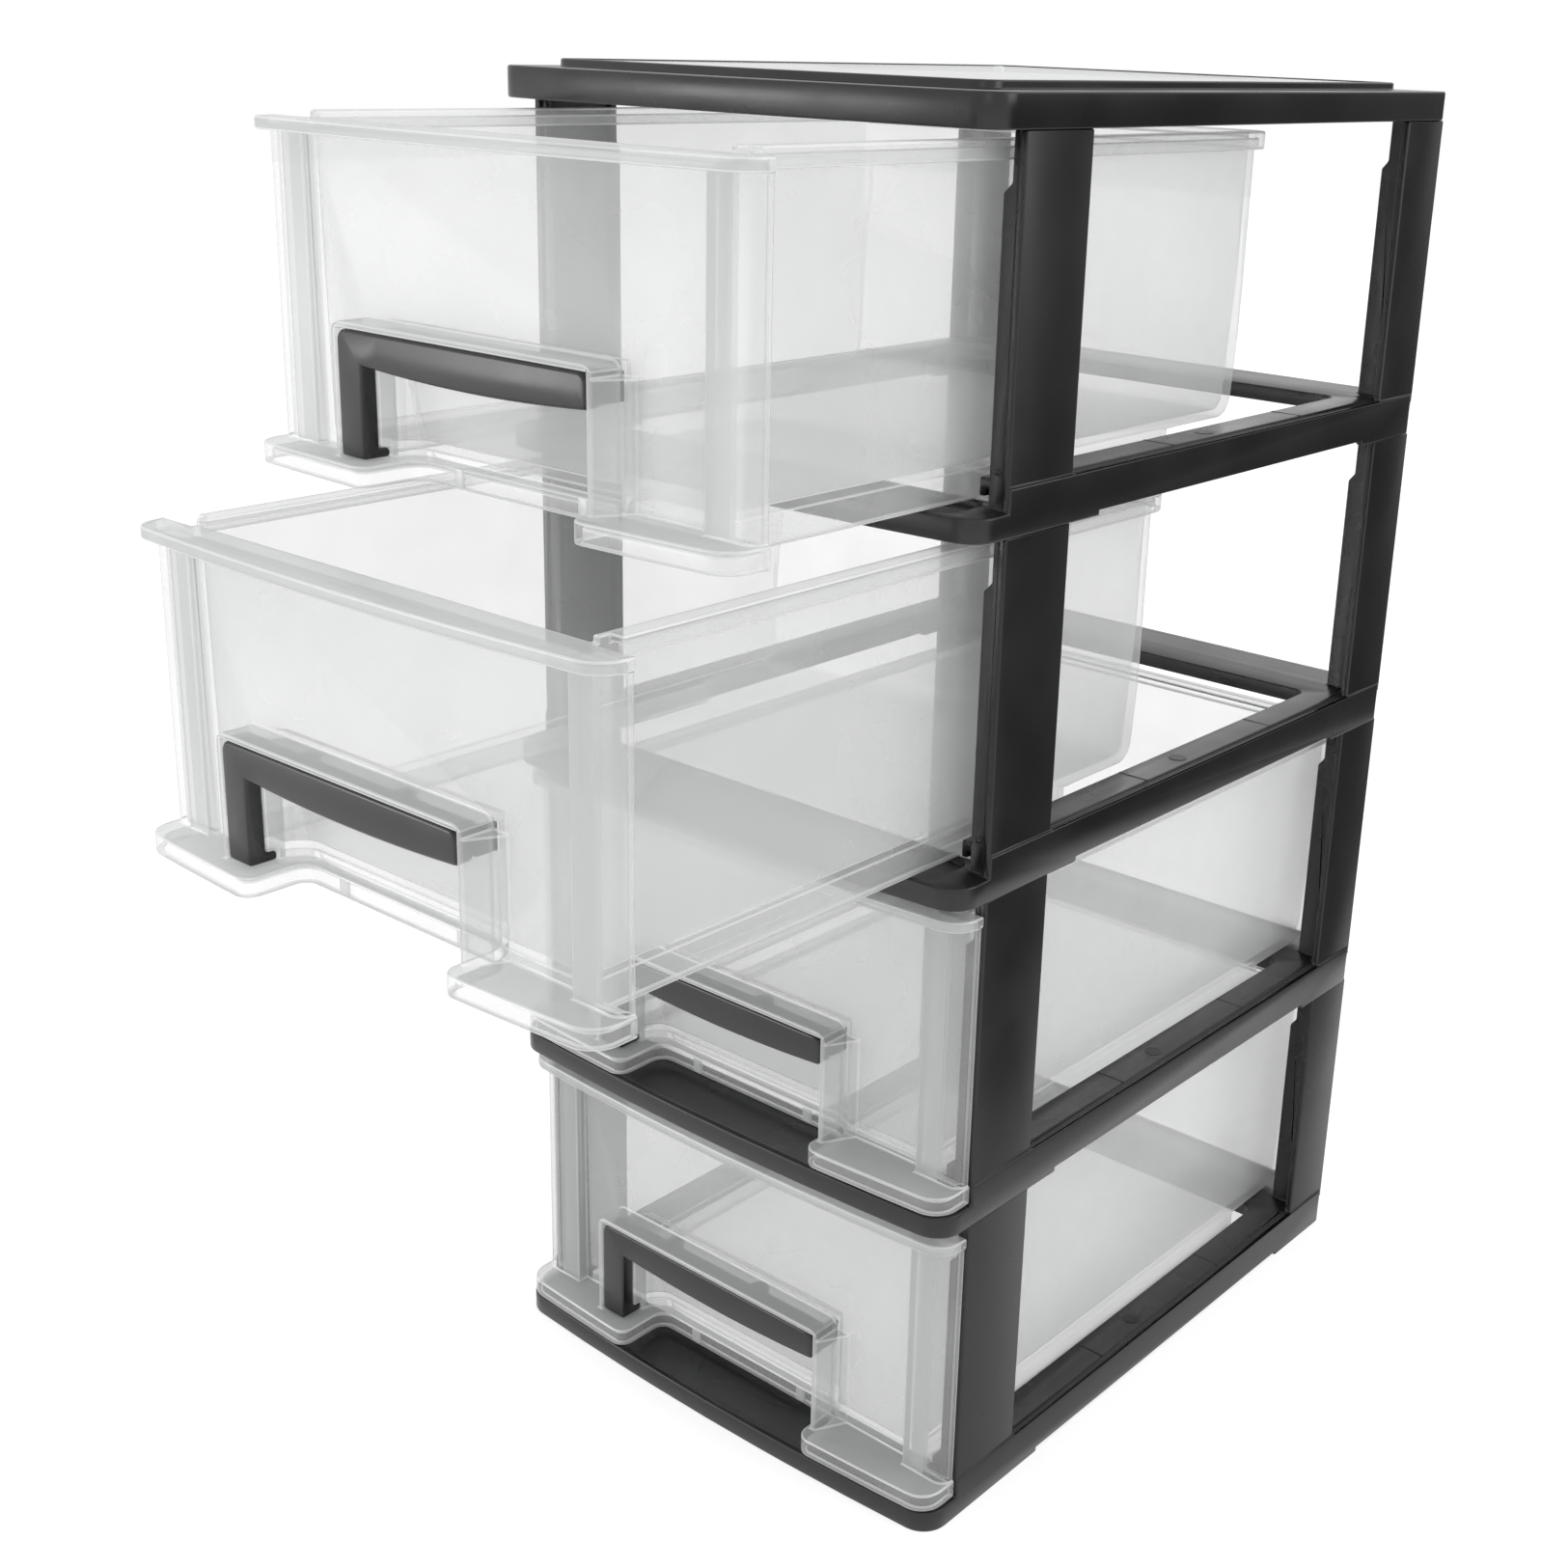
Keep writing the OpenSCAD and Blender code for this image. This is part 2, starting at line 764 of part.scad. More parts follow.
module drawer(index) {
  color(clear_colour, 0.5)
    translate([0, -drawer_out[index - 1], tier_z(index)]) {
      difference() {
        union() {
          tub();
          front_panel();
        }
        recess_solid(housing_wall - eps);
      }
      rim();
      both_sides()
        runner();
      top_lip();
      skirt();
      housing();
    }
}

// Face of the handle cover, in x and z: the bar with the leg under its left end.
module cover_face() {
  polygon(concat(
    [[bar_left, leg_z], [recess_left, leg_z], [recess_left, bar_z]],
    arc([bar_right - bar_end_r, bar_z + bar_end_r], bar_end_r, -90, 0),
    arc([bar_right - bar_r, bar_top - bar_r], bar_r, 0, 90),
    arc([bar_left + bar_r, bar_top - bar_r], bar_r, 90, 180)
  ));
}

// Dark cover on the handle: bar, leg, a flange behind the bar and a toe behind the leg.
module handle_cover(index) {
  color(cover_colour)
    translate([0, -drawer_out[index - 1], tier_z(index)]) {
      upright(-bar_face, -bar_back)
        cover_face();
      upright(-bar_back - eps, -flange_back)
        intersection() {
          cover_face();
          translate([-far, bar_top - flange_h])
            square([2 * far, far]);
        }
      box(
        [recess_left - toe_w, -bar_back - eps, leg_z],
        [recess_left, toe_d - bar_back, leg_z + toe_h]
      );
    }
}

tier_frame(1);  // tier_frame_1
tier_frame(2);  // tier_frame_2
tier_frame(3);  // tier_frame_3
tier_frame(4);  // tier_frame_4
lid_frame();
lid_panel();
drawer(1);  // drawer_1
drawer(2);  // drawer_2
drawer(3);  // drawer_3
drawer(4);  // drawer_4
handle_cover(1);  // handle_cover_1
handle_cover(2);  // handle_cover_2
handle_cover(3);  // handle_cover_3
handle_cover(4);  // handle_cover_4
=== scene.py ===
"""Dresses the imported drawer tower: black frames and lid, translucent drawers, dark handle covers."""

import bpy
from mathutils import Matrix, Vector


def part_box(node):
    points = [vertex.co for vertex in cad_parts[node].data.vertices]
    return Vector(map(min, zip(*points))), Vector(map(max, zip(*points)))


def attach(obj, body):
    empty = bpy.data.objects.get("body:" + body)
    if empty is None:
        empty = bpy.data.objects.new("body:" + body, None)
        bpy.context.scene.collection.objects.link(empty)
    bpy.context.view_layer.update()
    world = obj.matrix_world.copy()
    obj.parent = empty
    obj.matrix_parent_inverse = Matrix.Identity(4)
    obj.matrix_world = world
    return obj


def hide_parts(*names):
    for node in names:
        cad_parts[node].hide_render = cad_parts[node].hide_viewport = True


bl_info = {
    "name": "Plastic drawer tower",
    "version": (1, 0, 0),
    "blender": (4, 5, 0),
    "location": "View3D > Sidebar > Drawer Tower",
    "description": "Finishes, fine moulding details and a stage for a four-drawer plastic tower",
    "category": "Object",
}

import math

import bmesh
import bpy
from mathutils import Matrix, Vector
from mathutils.bvhtree import BVHTree

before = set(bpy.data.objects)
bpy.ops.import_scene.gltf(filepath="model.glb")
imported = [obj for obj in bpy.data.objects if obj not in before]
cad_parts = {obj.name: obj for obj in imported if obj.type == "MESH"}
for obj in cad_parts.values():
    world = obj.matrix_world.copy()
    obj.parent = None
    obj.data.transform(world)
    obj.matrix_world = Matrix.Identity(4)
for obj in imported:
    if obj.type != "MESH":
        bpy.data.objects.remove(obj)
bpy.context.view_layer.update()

MM = 0.001
TIERS = (1, 2, 3, 4)
SIDES = (-1, 1)

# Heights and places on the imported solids, in millimetres. Tiers are counted from the top. FOOT is the
# height of a tier's foot, CLOSED_REACH how far a closed drawer stands before the front posts, and OUT
# how far a tier's drawer is pulled out.
PITCH = round((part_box("tier_frame_1")[0].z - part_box("tier_frame_2")[0].z) / MM, 1)
FOOT = {tier: (TIERS[-1] - tier) * PITCH for tier in TIERS}
CLOSED_REACH = 13.7
OUT = {tier: round(-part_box(f"drawer_{tier}")[0].y / MM - CLOSED_REACH, 1) for tier in TIERS}

# Tier frame: the top of its tracks, and the right-hand pin mark, step lines and drawer stop, with their
# sizes across, along and up
TRACK_TOP = 11.2
PIN_PLACE = (65.6, 83.0)
PIN_SIZE = (4.4, 4.4, 0.16)
STEP_X = 65.3
STEP_YS = (63.8, 121.5)
STEP_SIZE = (8.0, 0.4, 0.14)
STOP_PLACE = (66.9, 0.6, 13.2)
STOP_SIZE = (1.6, 0.7, 1.4)

# Drawer front: the back of its moulding, the top of its skirt, where its side columns begin and have
# their middle, and the ribs in the skirt's pocket
FRONT_BACK = 0.5
SKIRT_TOP = 10.3
COLUMN_IN = 54.0
COLUMN_MID = 63.5
RIB_XS = (-18.4, 18.6)
RIB_Y = 1.75
RIB_Z = 7.9
RIB_SIZE = (2.6, 0.9, 4.2)

# Handle cover: the bar with its sagging lower edge, the snap tabs and the block at its right end
BAR_SPAN = (-34.9, 31.4)
BAR_BOTTOM = 29.7
BAR_TOP = 36.6
BAR_SAG = 1.3
BAR_STEPS = 12
TAB_XS = (-22.5, 7.5)
TAB_Y = -2.1
TAB_Z = 35.6
TAB_SIZE = (5.0, 4.4, 1.6)
END_PLACE = (30.5, -1.95, 33.2)
END_SIZE = (1.6, 5.3, 5.8)

# Depths of plastic, in millimetres, that set how milky a face looks: where none is found behind it, the
# least in parts of the drawers, and at level and upright edges of the drawers, the panel and the ribs
LONE_WALL = 1.5
WALL_DEPTH = 2.0
# the shelves' depth is partly real thickness and partly painted light from above, which makes level faces
# milkier
SHELF_DEPTH_AND_TOP_LIGHT = 4.0
COLUMN_DEPTH = 6.5
DRAWER_EDGE = 7.0
DRAWER_UPRIGHT = 3.0
PANEL_EDGE = 5.0
PANEL_UPRIGHT = 2.0
RIB_EDGE = 5.0

# How steep an edge is to count as upright, and its share of a level edge's shine
UPRIGHT_FROM = 0.8
UPRIGHT_SHINE = 0.6

# Meshes: distances in metres and angles in radians
MERGE = 0.002 * MM
FLAT_ANGLE = math.radians(0.6)
EDGE_ANGLE = math.radians(35)
SHARP_ANGLE = math.radians(40)

# Lamps, each with its place and width in metres and its power in watts, and where they are aimed
LAMPS = (
    ("Key", (0.8, -1.05, 0.8), 0.5, 0.5),
    ("Right_fill", (1.0, 0.45, 0.75), 0.6, 2.4),
    ("Left_strip", (-0.78, -0.95, 0.26), 0.4, 2.8),
)
LAMP_AIM = (0, 0.08, 0.16)

# Floor: how far it reaches to each side, in metres, and its own glow
FLOOR_REACH = 4.0
FLOOR_GLOW = 0.69

# A dark flag that only gloss sees, low behind and to the right: its direction, the cosines from its soft
# rim to its middle, the heights over which it fades, the distances in metres over which it covers the
# floor, the most that it takes from the backdrop and the floor, and its own glow
FLAG_TOWARDS = (0.62, 0.78, 0.0)
FLAG_RIM = (0.72, 0.93)
FLAG_TOP = (0.15, 0.5)
FLAG_FLOOR = (0.36, 0.6)
FLAG_ON_BACKDROP = 0.85
FLAG_ON_FLOOR = 0.92
FLAG_GLOW = 0.05

# Camera: its place in metres, its yaw from +Y, pitch and roll in radians, and its lens in millimetres
CAMERA_PLACE = (0.312109, -0.335469, 0.337042)
CAMERA_TURN = (-0.685, -0.326, 0.034)
CAMERA_LENS = 47.72
CAMERA_SHIFT = (-0.0587, -0.0323)


# Sizes and colours that a user would change

class TowerFinish(bpy.types.PropertyGroup):
    frame_colour: bpy.props.StringProperty(
        name="Frame colour", description="sRGB hex colour of the black frames and the lid",
        default="131314")
    frame_roughness: bpy.props.FloatProperty(
        name="Frame roughness", description="Roughness of the satin black moulding",
        default=0.27, min=0, max=1)
    cover_colour: bpy.props.StringProperty(
        name="Cover colour", description="sRGB hex colour of the handle covers",
        default="1a1a1b")
    cover_roughness: bpy.props.FloatProperty(
        name="Cover roughness", description="Roughness of the handle covers",
        default=0.25, min=0, max=1)
    clear_colour: bpy.props.StringProperty(
        name="Clear colour", description="sRGB hex colour of the light that thin clear plastic scatters",
        default="e2e3e3")
    thick_colour: bpy.props.StringProperty(
        name="Thick colour", description="sRGB hex colour of the light that thick parts scatter",
        default="c6c8c8")
    edge_colour: bpy.props.StringProperty(
        name="Edge colour", description="sRGB hex colour of the light that the clear plastic's edges gather",
        default="ebecec")
    clear_haze: bpy.props.FloatProperty(
        name="Haze", description="How fast the clear plastic turns milky, per millimetre of depth",
        default=0.225, min=0, max=3)
    panel_colour: bpy.props.StringProperty(
        name="Panel colour", description="sRGB hex colour of the light that the lid panel scatters",
        default="f2f3f3")
    panel_haze: bpy.props.FloatProperty(
        name="Panel haze", description="How fast the lid panel turns milky, per millimetre of depth",
        default=1.2, min=0, max=3)


class TowerDetail(bpy.types.PropertyGroup):
    frame_edge: bpy.props.FloatProperty(
        name="Frame edge radius", description="Rounding of the black mouldings' edges",
        default=0.45 * MM, min=0, unit="LENGTH")
    clear_edge: bpy.props.FloatProperty(
        name="Drawer edge radius", description="Rounding of the clear mouldings' edges",
        default=0.4 * MM, min=0, unit="LENGTH")
    cover_edge: bpy.props.FloatProperty(
        name="Cover edge radius", description="Rounding of the handle covers' edges",
        default=0.7 * MM, min=0, unit="LENGTH")


# Colours and nodes

def linear(hex_colour):
    """An sRGB hex colour as a linear RGBA tuple."""
    channels = [int(hex_colour[i:i + 2], 16) / 255 for i in (0, 2, 4)]
    return tuple(c / 12.92 if c <= 0.04045 else ((c + 0.055) / 1.055) ** 2.4 for c in channels) + (1.0,)


def add_node(tree, kind, inputs=None, **settings):
    """Adds a node with its settings; each input is a value or a socket to link."""
    node = tree.nodes.new(kind)
    for name, value in settings.items():
        setattr(node, name, value)
    for name, value in (inputs or {}).items():
        if isinstance(value, bpy.types.NodeSocket):
            tree.links.new(value, node.inputs[name])
        else:
            node.inputs[name].default_value = value
    return node


def new_material(name):
    """An empty node material and its tree."""
    material = bpy.data.materials.new(name)
    material.use_nodes = True
    material.node_tree.nodes.clear()
    return material, material.node_tree


# Noise keeps mostly to this range
NOISE_SPAN = {"From Min": 0.3, "From Max": 0.7}


def black_moulding(name, colour, roughness, grain_mm):
    """Injection-moulded black plastic: a satin skin with soft, slightly uneven gloss."""
    material, tree = new_material(name)
    place = add_node(tree, "ShaderNodeTexCoord").outputs["Object"]
    # cooling leaves broad, faint changes of gloss and tone, 40 to the metre, so about 25 mm across
    flow = add_node(tree, "ShaderNodeTexNoise", {
        "Vector": place, "Scale": 40.0, "Detail": 2.0}).outputs["Fac"]
    rough = add_node(tree, "ShaderNodeMapRange", {
        "Value": flow, **NOISE_SPAN, "To Min": roughness - 0.05, "To Max": roughness + 0.07,
    }).outputs["Result"]
    tone = add_node(tree, "ShaderNodeMapRange", {
        "Value": flow, **NOISE_SPAN, "To Min": 0.85, "To Max": 1.2}).outputs["Result"]
    shade = add_node(tree, "ShaderNodeVectorMath", {
        0: linear(colour)[:3], "Scale": tone}, operation="SCALE").outputs[0]
    # the mould's fine grain
    grain = add_node(tree, "ShaderNodeTexNoise", {
        "Vector": place, "Scale": 1000.0 / grain_mm, "Detail": 1.0}).outputs["Fac"]
    bump = add_node(tree, "ShaderNodeBump", {
        "Height": grain, "Strength": 0.05, "Distance": 0.2 * MM}).outputs["Normal"]
    surface = add_node(tree, "ShaderNodeBsdfPrincipled", {
        "Base Color": shade, "Roughness": rough, "Normal": bump, "IOR": 1.5, "Specular IOR Level": 0.5,
    }).outputs[0]
    add_node(tree, "ShaderNodeOutputMaterial", {"Surface": surface})
    return material


# How clear plastic meets light: how much more it hides when seen from the side, how much of the light
# that milky parts hide spreads on through them, the share of the milky light that is passed on, the
# depths in millimetres of the thin and the thick colour, and the gloss of faces, edges and grazing views
SLANT = 0.62
SPREAD = 0.7
PASSED_ON = 0.22
THICKENING = (1.6, 6.0)
FACE_GLOSS = 0.03
EDGE_GLOSS = 0.12
GRAZING_GLOSS = 0.8


def clear_share(tree, facing, depth, haze):
    """How much shows through a face, which falls with the length of light's way through the wall."""
    # seen more from the side, the way through a wall is longer, and its fine grain hides more
    cosine = add_node(tree, "ShaderNodeMath", {
        0: facing, 1: -SLANT, 2: 1.0}, operation="MULTIPLY_ADD").outputs[0]
    way = add_node(tree, "ShaderNodeMath", {0: depth, 1: cosine}, operation="DIVIDE").outputs[0]
    # a wall has two faces, and each hides half of what the wall hides
    hidden = add_node(tree, "ShaderNodeMath", {0: way, 1: -haze / 2}, operation="MULTIPLY").outputs[0]
    clear = add_node(tree, "ShaderNodeMath", {0: hidden}, operation="EXPONENT").outputs[0]
    # flow marks, 30 to the metre, so about 33 mm across
    place = add_node(tree, "ShaderNodeTexCoord").outputs["Object"]
    flow = add_node(tree, "ShaderNodeTexNoise", {
        "Vector": place, "Scale": 30.0, "Detail": 3.0}).outputs["Fac"]
    cloud = add_node(tree, "ShaderNodeMapRange", {
        "Value": flow, **NOISE_SPAN, "To Min": 0.94, "To Max": 1.04}).outputs["Result"]
    clear = add_node(tree, "ShaderNodeMath", {
        0: clear, 1: cloud}, operation="MULTIPLY", use_clamp=True).outputs[0]
    # light spreads inside the plastic, so milky parts hold back less of it than they hide
    path = add_node(tree, "ShaderNodeLightPath")
    lit = add_node(tree, "ShaderNodeMath", {
        0: path.outputs["Is Shadow Ray"], 1: path.outputs["Is Diffuse Ray"]}, operation="MAXIMUM").outputs[0]
    lit = add_node(tree, "ShaderNodeMath", {0: lit, 1: SPREAD}, operation="MULTIPLY").outputs[0]
    return add_node(tree, "ShaderNodeMix", {"Factor": lit, "A": clear, "B": 1.0}).outputs[0]


def clear_moulding(name, thin_colour, thick_colour, edge_colour, haze, roughness):
    """Moulded natural polypropylene: see-through in thin walls, milky where light's way through is long."""
    material, tree = new_material(name)
    depth = add_node(tree, "ShaderNodeAttribute", attribute_name="depth_mm").outputs["Fac"]
    edge = add_node(tree, "ShaderNodeAttribute", attribute_name="edge").outputs["Fac"]
    facing = add_node(tree, "ShaderNodeLayerWeight", {"Blend": 0.5}).outputs["Facing"]
    thin, thick = THICKENING
    thickness = add_node(tree, "ShaderNodeMapRange", {
        "Value": depth, "From Min": thin, "From Max": thick}).outputs["Result"]
    tint = add_node(tree, "ShaderNodeMix", {
        "Factor": thickness, 6: linear(thin_colour), 7: linear(thick_colour)}, data_type="RGBA").outputs[2]
    # edges gather light from inside the walls and shine
    tint = add_node(tree, "ShaderNodeMix", {
        "Factor": edge, 6: tint, 7: linear(edge_colour)}, data_type="RGBA").outputs[2]
    reflected = add_node(tree, "ShaderNodeBsdfDiffuse", {"Color": tint}).outputs[0]
    passed_on = add_node(tree, "ShaderNodeBsdfTranslucent", {"Color": tint}).outputs[0]
    milk = add_node(tree, "ShaderNodeMixShader", {0: PASSED_ON, 1: reflected, 2: passed_on}).outputs[0]
    through = add_node(tree, "ShaderNodeBsdfTransparent").outputs[0]
    body = add_node(tree, "ShaderNodeMixShader", {
        0: clear_share(tree, facing, depth, haze), 1: milk, 2: through}).outputs[0]
    # Schlick's rule for gloss that grows towards a grazing view, the same from either side of a wall
    skin = add_node(tree, "ShaderNodeBsdfGlossy", {"Roughness": roughness}).outputs[0]
    rise = add_node(tree, "ShaderNodeMath", {0: facing, 1: 5.0}, operation="POWER").outputs[0]
    base = add_node(tree, "ShaderNodeMath", {
        0: edge, 1: EDGE_GLOSS, 2: FACE_GLOSS}, operation="MULTIPLY_ADD").outputs[0]
    gloss = add_node(tree, "ShaderNodeMath", {
        0: rise, 1: GRAZING_GLOSS, 2: base}, operation="MULTIPLY_ADD").outputs[0]
    surface = add_node(tree, "ShaderNodeMixShader", {0: gloss, 1: body, 2: skin}).outputs[0]
    add_node(tree, "ShaderNodeOutputMaterial", {"Surface": surface})
    return material


def frame_polystyrene():
    """The frames' and the lid's black, with grain 0.4 mm across."""
    finish = bpy.context.scene.tower_finish
    return bpy.data.materials.get("moulded_black_polystyrene") or black_moulding(
        "moulded_black_polystyrene", finish.frame_colour, finish.frame_roughness, grain_mm=0.4)


def cover_abs():
    """The handle covers' black, with grain 0.6 mm across."""
    finish = bpy.context.scene.tower_finish
    return bpy.data.materials.get("moulded_black_abs") or black_moulding(
        "moulded_black_abs", finish.cover_colour, finish.cover_roughness, grain_mm=0.6)


def drawer_polypropylene():
    """The drawers' clear plastic."""
    finish = bpy.context.scene.tower_finish
    return bpy.data.materials.get("moulded_natural_polypropylene") or clear_moulding(
        "moulded_natural_polypropylene", finish.clear_colour, finish.thick_colour, finish.edge_colour,
        finish.clear_haze, roughness=0.3)


def panel_polypropylene():
    """The lid panel's plastic, milkier than the drawers' and polished, so it mirrors more sharply."""
    finish = bpy.context.scene.tower_finish
    return bpy.data.materials.get("moulded_polished_polypropylene") or clear_moulding(
        "moulded_polished_polypropylene", finish.panel_colour, finish.clear_colour, finish.edge_colour,
        finish.panel_haze, roughness=0.12)


# Meshes

def finished(obj, name):
    """The object with its modifiers applied, as a new plain mesh object."""
    bpy.context.view_layer.update()
    graph = bpy.context.evaluated_depsgraph_get()
    mesh = bpy.data.meshes.new_from_object(
        obj.evaluated_get(graph), preserve_all_data_layers=True, depsgraph=graph)
    mesh.name = name
    result = bpy.data.objects.new(name, mesh)
    bpy.context.scene.collection.objects.link(result)
    bpy.data.objects.remove(obj)
    return result


def cut_across(bm, x):
    """Cuts all faces along the plane at x millimetres."""
    bmesh.ops.bisect_plane(
        bm, geom=bm.verts[:] + bm.edges[:] + bm.faces[:], plane_co=(x * MM, 0, 0), plane_no=(1, 0, 0))


def split_columns(bm):
    """Cuts the fronts' side columns in two along their height, so that each half has its own density."""
    for side in SIDES:
        cut_across(bm, side * COLUMN_MID)


def sag_bar(bm, foot):
    """Bends the lower edge of a handle bar down in its middle, in a shallow arc."""
    start, end = BAR_SPAN
    for step in range(1, BAR_STEPS):
        cut_across(bm, start + (end - start) * step / BAR_STEPS)
    for vertex in bm.verts:
        along = (vertex.co.x / MM - start) / (end - start)
        up = (vertex.co.z / MM - foot - BAR_BOTTOM) / (BAR_TOP - BAR_BOTTOM)
        if 0 < along < 1 and up > -0.01:
            vertex.co.z -= BAR_SAG * MM * 4 * along * (1 - along) * (1 - up)


def pin_strays(obj, source, radius):
    """Puts points that the rounding threw off the source's surface back on it, and keeps all in its box."""
    bm = bmesh.new()
    bm.from_mesh(source)
    surface = BVHTree.FromBMesh(bm)
    bm.free()
    spans = [(min(values), max(values)) for values in zip(*(vertex.co for vertex in source.vertices))]
    for vertex in obj.data.vertices:
        near, _, _, distance = surface.find_nearest(vertex.co)
        if distance > radius / 2:
            vertex.co = near
        vertex.co = [min(max(value, low), high) for value, (low, high) in zip(vertex.co, spans)]


def rounded_copy(node, name, radius, segments=2, bend=None):
    """A merged copy of a CAD node with rounded edges; the faces of the rounding keep material index 1."""
    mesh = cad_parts[node].data.copy()
    mesh.materials.clear()
    bm = bmesh.new()
    bm.from_mesh(mesh)
    bmesh.ops.remove_doubles(bm, verts=bm.verts, dist=MERGE)
    bmesh.ops.dissolve_degenerate(bm, edges=bm.edges, dist=MERGE)
    bmesh.ops.dissolve_limit(bm, angle_limit=FLAT_ANGLE, verts=bm.verts, edges=bm.edges)
    if bend:
        bend(bm)
    for face in bm.faces:
        face.smooth = True
        face.material_index = 0
    source = bpy.data.meshes.new("source")
    bm.to_mesh(source)
    bm.to_mesh(mesh)
    bm.free()
    blank = bpy.data.materials.new("blank")
    mesh.materials.append(blank)
    mesh.materials.append(blank)
    obj = bpy.data.objects.new(name + "_rough", mesh)
    bpy.context.scene.collection.objects.link(obj)
    bevel = obj.modifiers.new("Edges", "BEVEL")
    bevel.width = radius
    bevel.segments = segments
    bevel.limit_method = "ANGLE"
    bevel.angle_limit = EDGE_ANGLE
    bevel.use_clamp_overlap = False
    bevel.material = 1
    result = finished(obj, name)
    pin_strays(result, source, radius)
    result.data.set_sharp_from_angle(angle=SHARP_ANGLE)
    return result


def depth_attribute(obj, edge_mm, upright_mm, denser=None):
    """Stores on each face the plastic's depth behind it in millimetres, and how much it is an edge.

    Rounded edges have at least edge_mm, or upright_mm where they stand upright, and no face has more
    than edge_mm. denser gives a face's least depth from its place in millimetres and its normal.
    """
    under, reach = 0.01 * MM, 50 * MM
    bm = bmesh.new()
    bm.from_mesh(obj.data)
    tree = BVHTree.FromBMesh(bm)
    depths = []
    edges = []
    for face in bm.faces:
        middle = face.calc_center_median()
        far_side, _, _, distance = tree.ray_cast(middle - face.normal * under, -face.normal, reach)
        depth = LONE_WALL if far_side is None else (distance + under) / MM
        edge = 0.0
        if face.material_index == 1:
            longest = max(face.edges, key=lambda side: side.calc_length())
            run = longest.verts[1].co - longest.verts[0].co
            upright = abs(run.z) > UPRIGHT_FROM * run.length
            depth = max(depth, upright_mm if upright else edge_mm)
            edge = UPRIGHT_SHINE if upright else 1.0
        if denser:
            depth = max(depth, denser(middle / MM, face.normal))
        depths.append(min(depth, edge_mm))
        edges.append(edge)
    bm.free()
    for name, values in (("depth_mm", depths), ("edge", edges)):
        layer = obj.data.attributes.new(name, "FLOAT", "FACE")
        layer.data.foreach_set("value", values)


# The unit solids that Geometry Nodes repeat
UNIT_SOLIDS = {
    "disc": ("GeometryNodeMeshCylinder", {"Vertices": 24, "Radius": 0.5, "Depth": 1.0}),
    "rib": ("GeometryNodeMeshCube", {"Size": (1.0, 1.0, 1.0)}),
    "bump": ("GeometryNodeMeshUVSphere", {"Segments": 16, "Rings": 10, "Radius": 0.5}),
}


def repeats(name, solid, points, size, finish, rounding=0.0):
    """A small solid repeated on points by Geometry Nodes, as one plain mesh; lengths in millimetres."""
    tree = bpy.data.node_groups.new(name + "_repeats", "GeometryNodeTree")
    tree.interface.new_socket("Geometry", in_out="INPUT", socket_type="NodeSocketGeometry")
    size_input = tree.interface.new_socket("Size", in_out="INPUT", socket_type="NodeSocketVector")
    finish_input = tree.interface.new_socket("Finish", in_out="INPUT", socket_type="NodeSocketMaterial")
    tree.interface.new_socket("Geometry", in_out="OUTPUT", socket_type="NodeSocketGeometry")
    start = add_node(tree, "NodeGroupInput")
    one = add_node(tree, *UNIT_SOLIDS[solid]).outputs["Mesh"]
    placed = add_node(tree, "GeometryNodeInstanceOnPoints", {
        "Points": start.outputs["Geometry"], "Instance": one, "Scale": start.outputs["Size"]}).outputs[0]
    real = add_node(tree, "GeometryNodeRealizeInstances", {"Geometry": placed}).outputs[0]
    painted = add_node(tree, "GeometryNodeSetMaterial", {
        "Geometry": real, "Material": start.outputs["Finish"]}).outputs[0]
    add_node(tree, "NodeGroupOutput", {"Geometry": painted})
    mesh = bpy.data.meshes.new(name)
    mesh.from_pydata([[c * MM for c in point] for point in points], [], [])
    obj = bpy.data.objects.new(name + "_points", mesh)
    bpy.context.scene.collection.objects.link(obj)
    nodes = obj.modifiers.new("Repeats", "NODES")
    nodes.node_group = tree
    nodes[size_input.identifier] = [c * MM for c in size]
    nodes[finish_input.identifier] = finish
    if rounding:
        bevel = obj.modifiers.new("Edges", "BEVEL")
        bevel.width = rounding * MM
        bevel.segments = 3
        bevel.limit_method = "ANGLE"
    result = finished(obj, name)
    result.data.shade_smooth()
    result.data.set_sharp_from_angle(angle=SHARP_ANGLE)
    return result


def give(obj, material, body, slot, *nodes):
    """One material on all faces, a body to ride on, and the CAD nodes it stands for; slot is not used."""
    obj.data.materials.clear()
    obj.data.materials.append(material)
    for polygon in obj.data.polygons:
        polygon.material_index = 0
    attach(obj, body)
    if nodes:
        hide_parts(*nodes)


# Operators

class TOWER_OT_tier_frames(bpy.types.Operator):
    """Makes the four black tier frames with rounded edges"""
    bl_idname = "tower.tier_frames"
    bl_label = "Tier frames"

    def execute(self, context):
        for tier in TIERS:
            node = f"tier_frame_{tier}"
            piece = rounded_copy(node, f"black_{node}", context.scene.tower_detail.frame_edge)
            give(piece, frame_polystyrene(), "tower", "black_frame", node)
        return {"FINISHED"}


